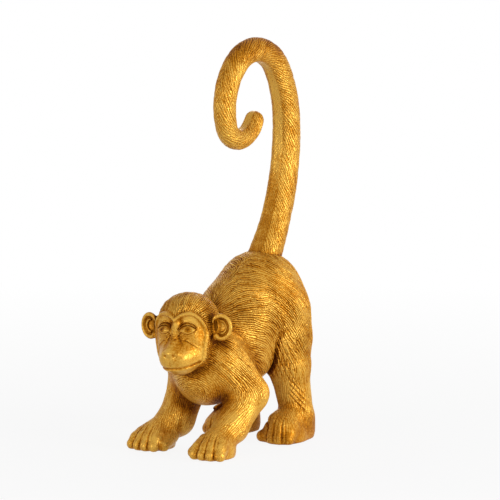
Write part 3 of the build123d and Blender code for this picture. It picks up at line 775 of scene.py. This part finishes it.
def fur_amount(p):
    """How deep the coat is: full on the head and trunk, thinner down the limbs, thin on hands and feet,
    none on the face and ears, with a slow change from place to place."""
    q = head_view(p)
    bare = bare_face(q)
    for side in (LEFT, RIGHT):
        e = ear_view(q, side)
        disc = np.sqrt((e[:, 0] / 9.6) ** 2 + (e[:, 2] / 11) ** 2 + (e[:, 1] / 5.0) ** 2)
        bare = np.maximum(bare, step(-disc, -1.15, -0.95) * step(e[:, 0], -7.5, -5.0))
    limbs = 0.45 + 0.55 * step(p[:, 2], 30, 85)
    paws = 1 - 0.6 * step(-p[:, 2], -19, -12)
    return (1 - bare) * limbs * paws * np.clip(0.85 + 0.4 * drift(p + 90, 17), 0.4, 1.2)


def groomed(p, out, flow, amount, spacing):
    """Points lifted into locks and strands along the coat, which wanders slowly: each lifts as the root of
    half of 1 plus its cosine. With them the strand's cosine and sine and the depth between locks."""
    turn = 0.25 * drift(p, 34) + 0.14 * drift(p + 40, 14)
    along = unit(flow - np.einsum("ij,ij->i", flow, out)[:, None] * out)
    across = np.cross(out, along)
    along, across = (
        along * np.cos(turn)[:, None] + across * np.sin(turn)[:, None],
        across * np.cos(turn)[:, None] - along * np.sin(turn)[:, None],
    )
    cosine, sine, clear = strands(p, across, along, out, spacing, 0)
    lock_cosine, _, lock_clear = strands(p, across, along, out, CLUMP, 1)
    strand = np.sqrt(np.clip((1 + cosine) / 2, 0, 1))
    lock = np.sqrt(np.clip((1 + lock_cosine) / 2, 0, 1))
    strand_lift = STRAND_LIFT * spacing * (strand * clear - 0.6)
    lift = amount * (strand_lift + LOCK_LIFT * (lock * lock_clear - 0.6))
    return p + lift[:, None] * out, cosine, sine, (1 - lock) * lock_clear * amount


def fold_wash_and_shade(p, out):
    """How hidden a point is, from 0 in the open to above 1 deep in a fold: the animal's distance a few
    steps out from the skin, against the steps themselves. The paint shows it as brown wash and painted shade
    in folds."""
    hidden = np.zeros(len(p))
    # Brown wash and painted shade in folds and hollows
    for reach, weight in COVER_STEPS:
        hidden += weight * np.clip(1 - animal(p + reach * out)[1] / reach, 0, 1)
    return hidden


def floor_shade(p):
    """Painted shade low on the hind feet, near the floor: a ramp over height, and over the way back from the
    hands.
    """
    # Painted shade near the floor
    return 0.25 * step(-p[:, 2], -30, -6) * step(p[:, 1], 15, 35)


# Meshes

def mesh_piece(name, points, faces, attributes, material, node):
    """A gold piece from points in the sculptor's frame and arrays of faces, one array for each number of
    sides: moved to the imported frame, in metres, riding on the one body."""
    mesh = bpy.data.meshes.new(name)
    place = ((points + SHIFT) * MM).astype(np.float32)
    loops = np.concatenate([group.ravel() for group in faces]).astype(np.int32)
    sides = np.concatenate([np.full(len(group), group.shape[1]) for group in faces])
    starts = np.concatenate(([0], np.cumsum(sides)[:-1])).astype(np.int32)
    mesh.vertices.add(len(place))
    mesh.vertices.foreach_set("co", place.ravel())
    mesh.loops.add(len(loops))
    mesh.loops.foreach_set("vertex_index", loops)
    mesh.polygons.add(len(starts))
    mesh.polygons.foreach_set("loop_start", starts)
    mesh.polygons.foreach_set("use_smooth", np.ones(len(starts), bool))
    mesh.update(calc_edges=True)
    mesh.validate()
    for key, values in attributes.items():
        mesh.attributes.new(key, "FLOAT", "POINT").data.foreach_set("value", values.astype(np.float32))
    mesh.materials.append(material)
    piece = bpy.data.objects.new(name, mesh)
    bpy.context.scene.collection.objects.link(piece)
    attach(piece, "root")
    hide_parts(node)
    return piece


def coat_values(cosine, sine, coat, lock, hidden):
    """Values that the paint reads at each point, by name."""
    return {"strand_cosine": cosine, "strand_sine": sine, "coat": coat, "lock": lock, "hidden": hidden}


def thin_hidden(piece, hidden):
    """Fewer faces on the walls of a casting that its neighbours hide: most of their edges are collapsed."""
    walls = piece.vertex_groups.new(name="hidden_walls")
    walls.add(np.flatnonzero(hidden).tolist(), 1.0, "REPLACE")
    thinner = piece.modifiers.new("thin_hidden_walls", "DECIMATE")
    thinner.vertex_group = walls.name
    thinner.ratio = 1 - HIDDEN_THINNED * float(hidden.mean())


def furred_casting(name, cell, material):
    """One casting of the body, with its coat."""
    points, faces, out = field_surface(name, share_field(name), cell * COARSEN)
    amount = fur_amount(points)
    rows = forms_at(points)
    flow = coat_flow(points, rows)
    walls = past_joint(rows, list(FORMS).index(name)) > HIDDEN_PAST * LAP
    # Brown wash and painted shade in folds, the face's tone and painted shade, and painted shade on the hind
    # feet
    hidden = fold_wash_and_shade(points, out) + face_tone_and_shade(points) + floor_shade(points)
    spacing = HEAD_STRAND if name == "head" else STRAND
    points, cosine, sine, depth = groomed(points, out, flow, amount, spacing)
    attributes = coat_values(cosine, sine, amount, depth, hidden)
    piece = mesh_piece(f"{name}_casting", points, (faces,), attributes, material, name)
    thin_hidden(piece, walls)


def plug_field(p):
    """Distance to the disc in the pouring hole: inside the hole's width, and between a little above the
    belly's skin and some way below it."""
    rel = p - trunk_point(PLUG_ALONG)
    down = -(rel @ TRUNK_UP)
    wide = length(rel + down[:, None] * TRUNK_UP) - PLUG_RADIUS
    proud = animal(p)[1] - PLUG_PROUD
    return -joined(joined(-wide, -proud, 0.8), proud + PLUG_DEPTH, 0.4)


def belly_plug(material):
    """Disc that closes the pouring hole under the belly, a little proud of the coat."""
    points, faces, out = field_surface("belly_plug", plug_field, PLUG_CELL * COARSEN)
    flat = np.zeros(len(points))
    attributes = coat_values(flat, flat, flat, flat, fold_wash_and_shade(points, out))
    mesh_piece("belly_plug_disc", points, (faces,), attributes, material, "belly_plug")


def tail_line(steps_per_mm):
    """Middle line of the tail in the plane X = 0, as even points, headings and distances: the turns of the
    bends added up along the way, and the headings added up to a place."""
    runs = [(TAIL_STRAIGHT, 0.0)]
    runs += [(radius * math.radians(turn), math.radians(turn)) for radius, turn in TAIL_BENDS]
    ends = np.cumsum([0.0] + [run for run, _ in runs])
    turns = math.radians(TAIL_LEAN) - np.cumsum([0.0] + [turn for _, turn in runs])
    distance = np.linspace(0, ends[-1], int(ends[-1] * steps_per_mm))
    heading = np.interp(distance, ends, turns)
    gap = distance[1] - distance[0]
    middle = (heading[1:] + heading[:-1]) / 2
    y = np.concatenate(([0.0], np.cumsum(np.sin(middle) * gap)))
    z = np.concatenate(([0.0], np.cumsum(np.cos(middle) * gap)))
    root = trunk_point(TAIL_ALONG, TAIL_RISE)
    return root + np.stack((np.zeros_like(y), y, z), 1), heading, distance


def tail_radius(distance, total):
    """Radius along the tail: a flare that dies away from the root, and a slow taper."""
    way = (np.minimum(distance, total) / total) ** TAIL_TAPER_POWER
    taper = TAIL_SHAFT_RADIUS + (TAIL_TIP_RADIUS - TAIL_SHAFT_RADIUS) * way
    flare = np.clip(1 - distance / TAIL_FLARE_LENGTH, 0, 1) ** 2
    return taper + (TAIL_ROOT_RADIUS - TAIL_SHAFT_RADIUS) * flare


def tail_rings():
    """Middles, headings and radii of the tail's rings: along its line, with a dome of rings at each end
    whose reach and radius go as the cosine and the sine of an angle."""
    fine = 1.0 / COARSEN
    line, heading, distance = tail_line(TAIL_ROWS_PER_MM * fine)
    total = distance[-1]
    dome = np.linspace(0, math.pi / 2, int(TAIL_DOME_ROWS * fine) + 2)[1:-1]
    root, tip = tail_radius(np.array((0.0, total)), total)
    reach = np.concatenate((-root * 0.5 * np.cos(dome), np.zeros(len(line)), tip * np.sin(dome)))
    radius = np.concatenate((root * np.sin(dome), tail_radius(distance, total), tip * np.cos(dome)))
    first, last = np.zeros(len(dome), int), np.full(len(dome), len(line) - 1)
    station = np.concatenate((first, np.arange(len(line)), last))
    ahead = np.stack((np.zeros_like(heading), np.sin(heading), np.cos(heading)), 1)[station]
    return line[station] + reach[:, None] * ahead, ahead, radius


def tail_faces(rows, columns):
    """Four-sided faces of a tube of points by rows, and the fans that close it on two points after them."""
    grid = np.arange(rows * columns).reshape(rows, columns)
    after = np.roll(grid, -1, 1)
    faces = np.stack((grid[:-1], after[:-1], after[1:], grid[1:]), -1).reshape(-1, 4)
    first, last = rows * columns, rows * columns + 1
    start_fan = np.stack((np.full(columns, first), after[0], grid[0]), 1)
    end_fan = np.stack((np.full(columns, last), grid[-1], after[-1]), 1)
    return faces, np.concatenate((start_fan, end_fan))


def tail_casting(material):
    """Tail: a round section with a flat band on the inside of the curl, carried along the tail's line and
    closed by a dome at each end. The band has little fur; painted shade darkens it low down and painted light
    brightens it higher up, painted shade runs along its edges, and painted shade darkens the top of the curl."""
    middle, ahead, radius = tail_rings()
    rows, columns = len(middle), int(TAIL_COLUMNS / COARSEN)
    angle = np.linspace(0, 2 * math.pi, columns, endpoint=False)
    back = np.cross(ahead, SIDEWAYS)
    ray = np.cos(angle)[None, :, None] * SIDEWAYS + np.sin(angle)[None, :, None] * back[:, None, :]
    inner = -np.sin(angle)
    band = step(inner, math.cos(TAIL_BAND + TAIL_BAND_EDGE), math.cos(TAIL_BAND - TAIL_BAND_EDGE))
    edge = bump(np.arccos(np.clip(inner, -1, 1)) - TAIL_BAND, TAIL_BAND_EDGE)
    section = np.minimum(1, math.cos(TAIL_BAND) / np.maximum(inner, 0.1)) - 0.02 * edge
    points = (middle[:, None, :] + (radius[:, None] * section)[:, :, None] * ray).reshape(-1, 3)
    tips = np.stack((middle[0] - ahead[0] * 0.2, middle[-1] + ahead[-1] * 0.2))
    out = unit(ray.reshape(-1, 3))
    forward = np.repeat(ahead, columns, 0)
    around = np.cross(forward, out)
    flow = forward - 0.55 * around * np.sign(ray.reshape(-1, 3)[:, :1] + 1e-6)
    amount = (TAIL_FUR * step(radius, 1.0, 6.0)[:, None] * (1 - 0.65 * band)).ravel()
    height = points[:, 2]
    # Painted shade along the band's edges and on the top of the curl, with the wash and shade in folds
    hidden = fold_wash_and_shade(points, out) + np.tile(0.12 * edge, rows) + 0.3 * step(height, 290, 312)
    # Painted shade on the band low down, and painted light on it higher up
    hidden += np.tile(band, rows) * (0.25 - 0.4 * step(height, 185, 250))
    points, cosine, sine, depth = groomed(points, out, flow, amount, STRAND)
    values = [np.append(value, np.zeros(2)) for value in (cosine, sine, amount, depth, hidden)]
    points = np.concatenate((points, tips))
    mesh_piece("tail_casting", points, tail_faces(rows, columns), coat_values(*values), material, "tail")


# Materials

def nodes_of(name):
    """A new material with its node tree and its main shader."""
    material = bpy.data.materials.new(name)
    material.use_nodes = True
    tree = material.node_tree
    return material, tree, tree.nodes["Principled BSDF"]


def add(tree, kind, inputs=None, **settings):
    """A node with its settings, and its inputs set to a value or linked from a socket."""
    node = tree.nodes.new(kind)
    for key, value in settings.items():
        setattr(node, key, value)
    for key, value in (inputs or {}).items():
        if isinstance(value, bpy.types.NodeSocket):
            tree.links.new(value, node.inputs[key])
        else:
            node.inputs[key].default_value = value
    return node


def math_node(tree, operation, a, b=0.0, clamp=False):
    """Result of a sum on two sockets or values."""
    return add(tree, "ShaderNodeMath", {0: a, 1: b}, operation=operation, use_clamp=clamp).outputs[0]


def attribute(tree, name):
    """A value kept on the mesh's points."""
    return add(tree, "ShaderNodeAttribute", attribute_name=name).outputs["Fac"]


def noise(tree, scale, detail):
    """Noise in the object's own space, about 0.5."""
    place = add(tree, "ShaderNodeTexCoord").outputs["Object"]
    inputs = {"Vector": place, "Scale": scale, "Detail": detail}
    return add(tree, "ShaderNodeTexNoise", inputs).outputs["Fac"]


def colour_ramp(tree, factor, first, last):
    """A ramp between two colours by a factor."""
    ramp = add(tree, "ShaderNodeValToRGB", {"Fac": factor})
    ramp.color_ramp.elements[0].color = first
    ramp.color_ramp.elements[1].color = last
    return ramp


def gold_paint():
    """Gold paint over brown: brown left in the grooves between strands and in folds, painted shade in folds
    and painted shade and light set on the face, hind feet and tail, worn bright on what stands out, with a
    fine grain.
    How brown a place is adds up from each of these by its weight."""
    material, tree, shader = nodes_of("gold_paint")
    coat = attribute(tree, "coat")
    phase = math_node(tree, "ARCTAN2", attribute(tree, "strand_sine"), attribute(tree, "strand_cosine"))
    half_phase = math_node(tree, "MULTIPLY", phase, 0.5)
    ridge = math_node(tree, "ABSOLUTE", math_node(tree, "COSINE", half_phase))
    groove = math_node(tree, "POWER", math_node(tree, "SUBTRACT", 1.0, ridge), 1.6)
    blotch, grain, speck = noise(tree, 55.0, 4.0), noise(tree, 1500.0, 2.0), noise(tree, 650.0, 3.0)
    dark = math_node(tree, "MULTIPLY", groove, coat)
    # hidden holds brown wash and painted shade in folds, and painted shade and light on the face, feet and
    # tail
    shares = ((speck, 0.5, 0.9), (attribute(tree, "lock"), 0.0, 0.35), (attribute(tree, "hidden"), 0.0, 1.2),
              (blotch, 0.45, 0.8), (grain, 0.5, 0.8))
    for source, middle, weight in shares:
        share = math_node(tree, "MULTIPLY", math_node(tree, "SUBTRACT", source, middle), weight)
        dark = math_node(tree, "ADD", dark, share)
    dark = math_node(tree, "ADD", dark, 0.0, True)
    ramp = colour_ramp(tree, dark, WORN_GOLD, BROWN)
    ramp.color_ramp.elements.new(0.45).color = DEEP_GOLD
    tree.links.new(ramp.outputs["Color"], shader.inputs["Base Color"])
    shader.inputs["Metallic"].default_value = 0.35
    shader.inputs["Specular IOR Level"].default_value = 0.06
    rough = math_node(tree, "ADD", 0.2, math_node(tree, "MULTIPLY", grain, 0.2))
    rough = math_node(tree, "ADD", rough, math_node(tree, "MULTIPLY", dark, 0.25))
    tree.links.new(rough, shader.inputs["Roughness"])
    strand_height = math_node(tree, "MULTIPLY", math_node(tree, "MULTIPLY", ridge, coat), 0.6)
    height = math_node(tree, "ADD", strand_height, math_node(tree, "MULTIPLY", speck, 0.5))
    relief = add(tree, "ShaderNodeBump", {"Height": height, "Strength": 0.9, "Distance": 0.0006})
    tree.links.new(relief.outputs["Normal"], shader.inputs["Normal"])
    return material


def steel():
    """Drawn steel: grey metal with fine mottling."""
    material, tree, shader = nodes_of("drawn_steel")
    ramp = colour_ramp(tree, noise(tree, 700.0, 3.0), (0.36, 0.36, 0.37, 1), (0.62, 0.62, 0.63, 1))
    tree.links.new(ramp.outputs["Color"], shader.inputs["Base Color"])
    shader.inputs["Metallic"].default_value = 1.0
    shader.inputs["Roughness"].default_value = 0.35
    return material


def felt():
    """Brown felt: matted fibres as noise in colour and height."""
    material, tree, shader = nodes_of("brown_felt")
    fibre = noise(tree, 1500.0, 6.0)
    ramp = colour_ramp(tree, fibre, (0.05, 0.03, 0.02, 1), (0.16, 0.10, 0.06, 1))
    tree.links.new(ramp.outputs["Color"], shader.inputs["Base Color"])
    shader.inputs["Roughness"].default_value = 0.95
    relief = add(tree, "ShaderNodeBump", {"Height": fibre, "Strength": 0.7, "Distance": 0.0004})
    tree.links.new(relief.outputs["Normal"], shader.inputs["Normal"])
    return material


# Stage

def shown_rays(tree):
    """1 on rays that show the background itself: straight to the camera, by reflection or through glass."""
    rays = add(tree, "ShaderNodeLightPath").outputs
    both = math_node(tree, "ADD", rays["Is Camera Ray"], rays["Is Glossy Ray"])
    return math_node(tree, "ADD", both, rays["Is Transmission Ray"], True)


def white_floor():
    """Wide white floor that keeps the shadow near the figurine, and shows as white further off."""
    bpy.ops.mesh.primitive_plane_add(size=60.0)
    floor = bpy.context.object
    floor.name = "floor"
    material, tree, shader = nodes_of("white_floor")
    shader.inputs["Base Color"].default_value = (0.7, 0.7, 0.7, 1)
    shader.inputs["Roughness"].default_value = 0.9
    glow = add(tree, "ShaderNodeEmission", {"Color": (1, 1, 1, 1), "Strength": 1.0}).outputs[0]
    place = add(tree, "ShaderNodeTexCoord").outputs["Object"]
    away = add(tree, "ShaderNodeVectorMath", {0: place}, operation="LENGTH").outputs["Value"]
    span = {"Value": away, "From Min": 0.15, "From Max": 0.9, "To Min": 0.9, "To Max": 1.0}
    fade = add(tree, "ShaderNodeMapRange", span).outputs["Result"]
    share = math_node(tree, "MULTIPLY", shown_rays(tree), fade)
    mix = add(tree, "ShaderNodeMixShader", {0: share, 1: shader.outputs[0], 2: glow})
    tree.links.new(mix.outputs[0], tree.nodes["Material Output"].inputs["Surface"])
    floor.data.materials.append(material)


def white_world():
    """Even room light that shows as white to the camera and in reflections."""
    world = bpy.data.worlds.new("studio")
    bpy.context.scene.world = world
    world.use_nodes = True
    tree = world.node_tree
    strength = math_node(tree, "ADD", 0.33, math_node(tree, "MULTIPLY", shown_rays(tree), 0.67))
    background = tree.nodes["Background"]
    background.inputs["Color"].default_value = (1, 1, 1, 1)
    tree.links.new(strength, background.inputs["Strength"])


def soft_box(name, place, power):
    """Square soft light that faces the middle of the figurine. Metres and watts."""
    light = bpy.data.lights.new(name, "AREA")
    light.size = 0.9
    light.energy = power
    lamp = bpy.data.objects.new(name, light)
    lamp.location = place
    lamp.rotation_euler = (Vector((0, 0, 0.15)) - Vector(place)).to_track_quat("-Z", "Y").to_euler()
    bpy.context.scene.collection.objects.link(lamp)


def photo_camera():
    """Camera at the photograph's angle: 39 degrees to the monkey's left of its front and 7.5 above it, far
    off, with a lens that takes in a square of mm_across at the figurine."""
    azimuth, elevation, distance = math.radians(39), math.radians(7.5), 2400.0
    mm_across, sensor = 389.0, 36.0
    level = math.cos(elevation)
    back = Vector((math.sin(azimuth) * level, -math.cos(azimuth) * level, math.sin(elevation)))
    right = Vector((math.cos(azimuth), math.sin(azimuth), 0))
    up = back.cross(right)
    aim = Vector((0, 18, 158)) + right * 13.2 - up * 5.4
    data = bpy.data.cameras.new("camera")
    data.sensor_width = sensor
    data.lens = sensor * distance / mm_across
    data.clip_end = 100
    camera = bpy.data.objects.new("camera", data)
    camera.location = (aim + back * distance + Vector(SHIFT)) * MM
    camera.rotation_mode = "QUATERNION"
    camera.rotation_quaternion = (-back).to_track_quat("-Z", "Y")
    bpy.context.scene.collection.objects.link(camera)
    bpy.context.scene.camera = camera


# The figurine and its studio

gold = gold_paint()
for casting in FORMS:
    furred_casting(casting, CELLS[casting.split("_")[-1]], gold)
tail_casting(gold)
belly_plug(gold)

steel_finish, felt_finish = steel(), felt()
for name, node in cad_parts.items():
    if name.endswith(("dowel", "rod")):
        node.data.materials.clear()
        node.data.materials.append(steel_finish)
    elif name.endswith("pad"):
        node.data.materials.clear()
        node.data.materials.append(felt_finish)

white_floor()
white_world()
soft_box("key", (1.8, 0.2, 0.3), 32)
soft_box("fill", (-0.5, -2.1, 0.3), 15)
soft_box("back", (-1.3, 1.7, 0.8), 5)
photo_camera()
bpy.context.scene.view_settings.view_transform = "Standard"
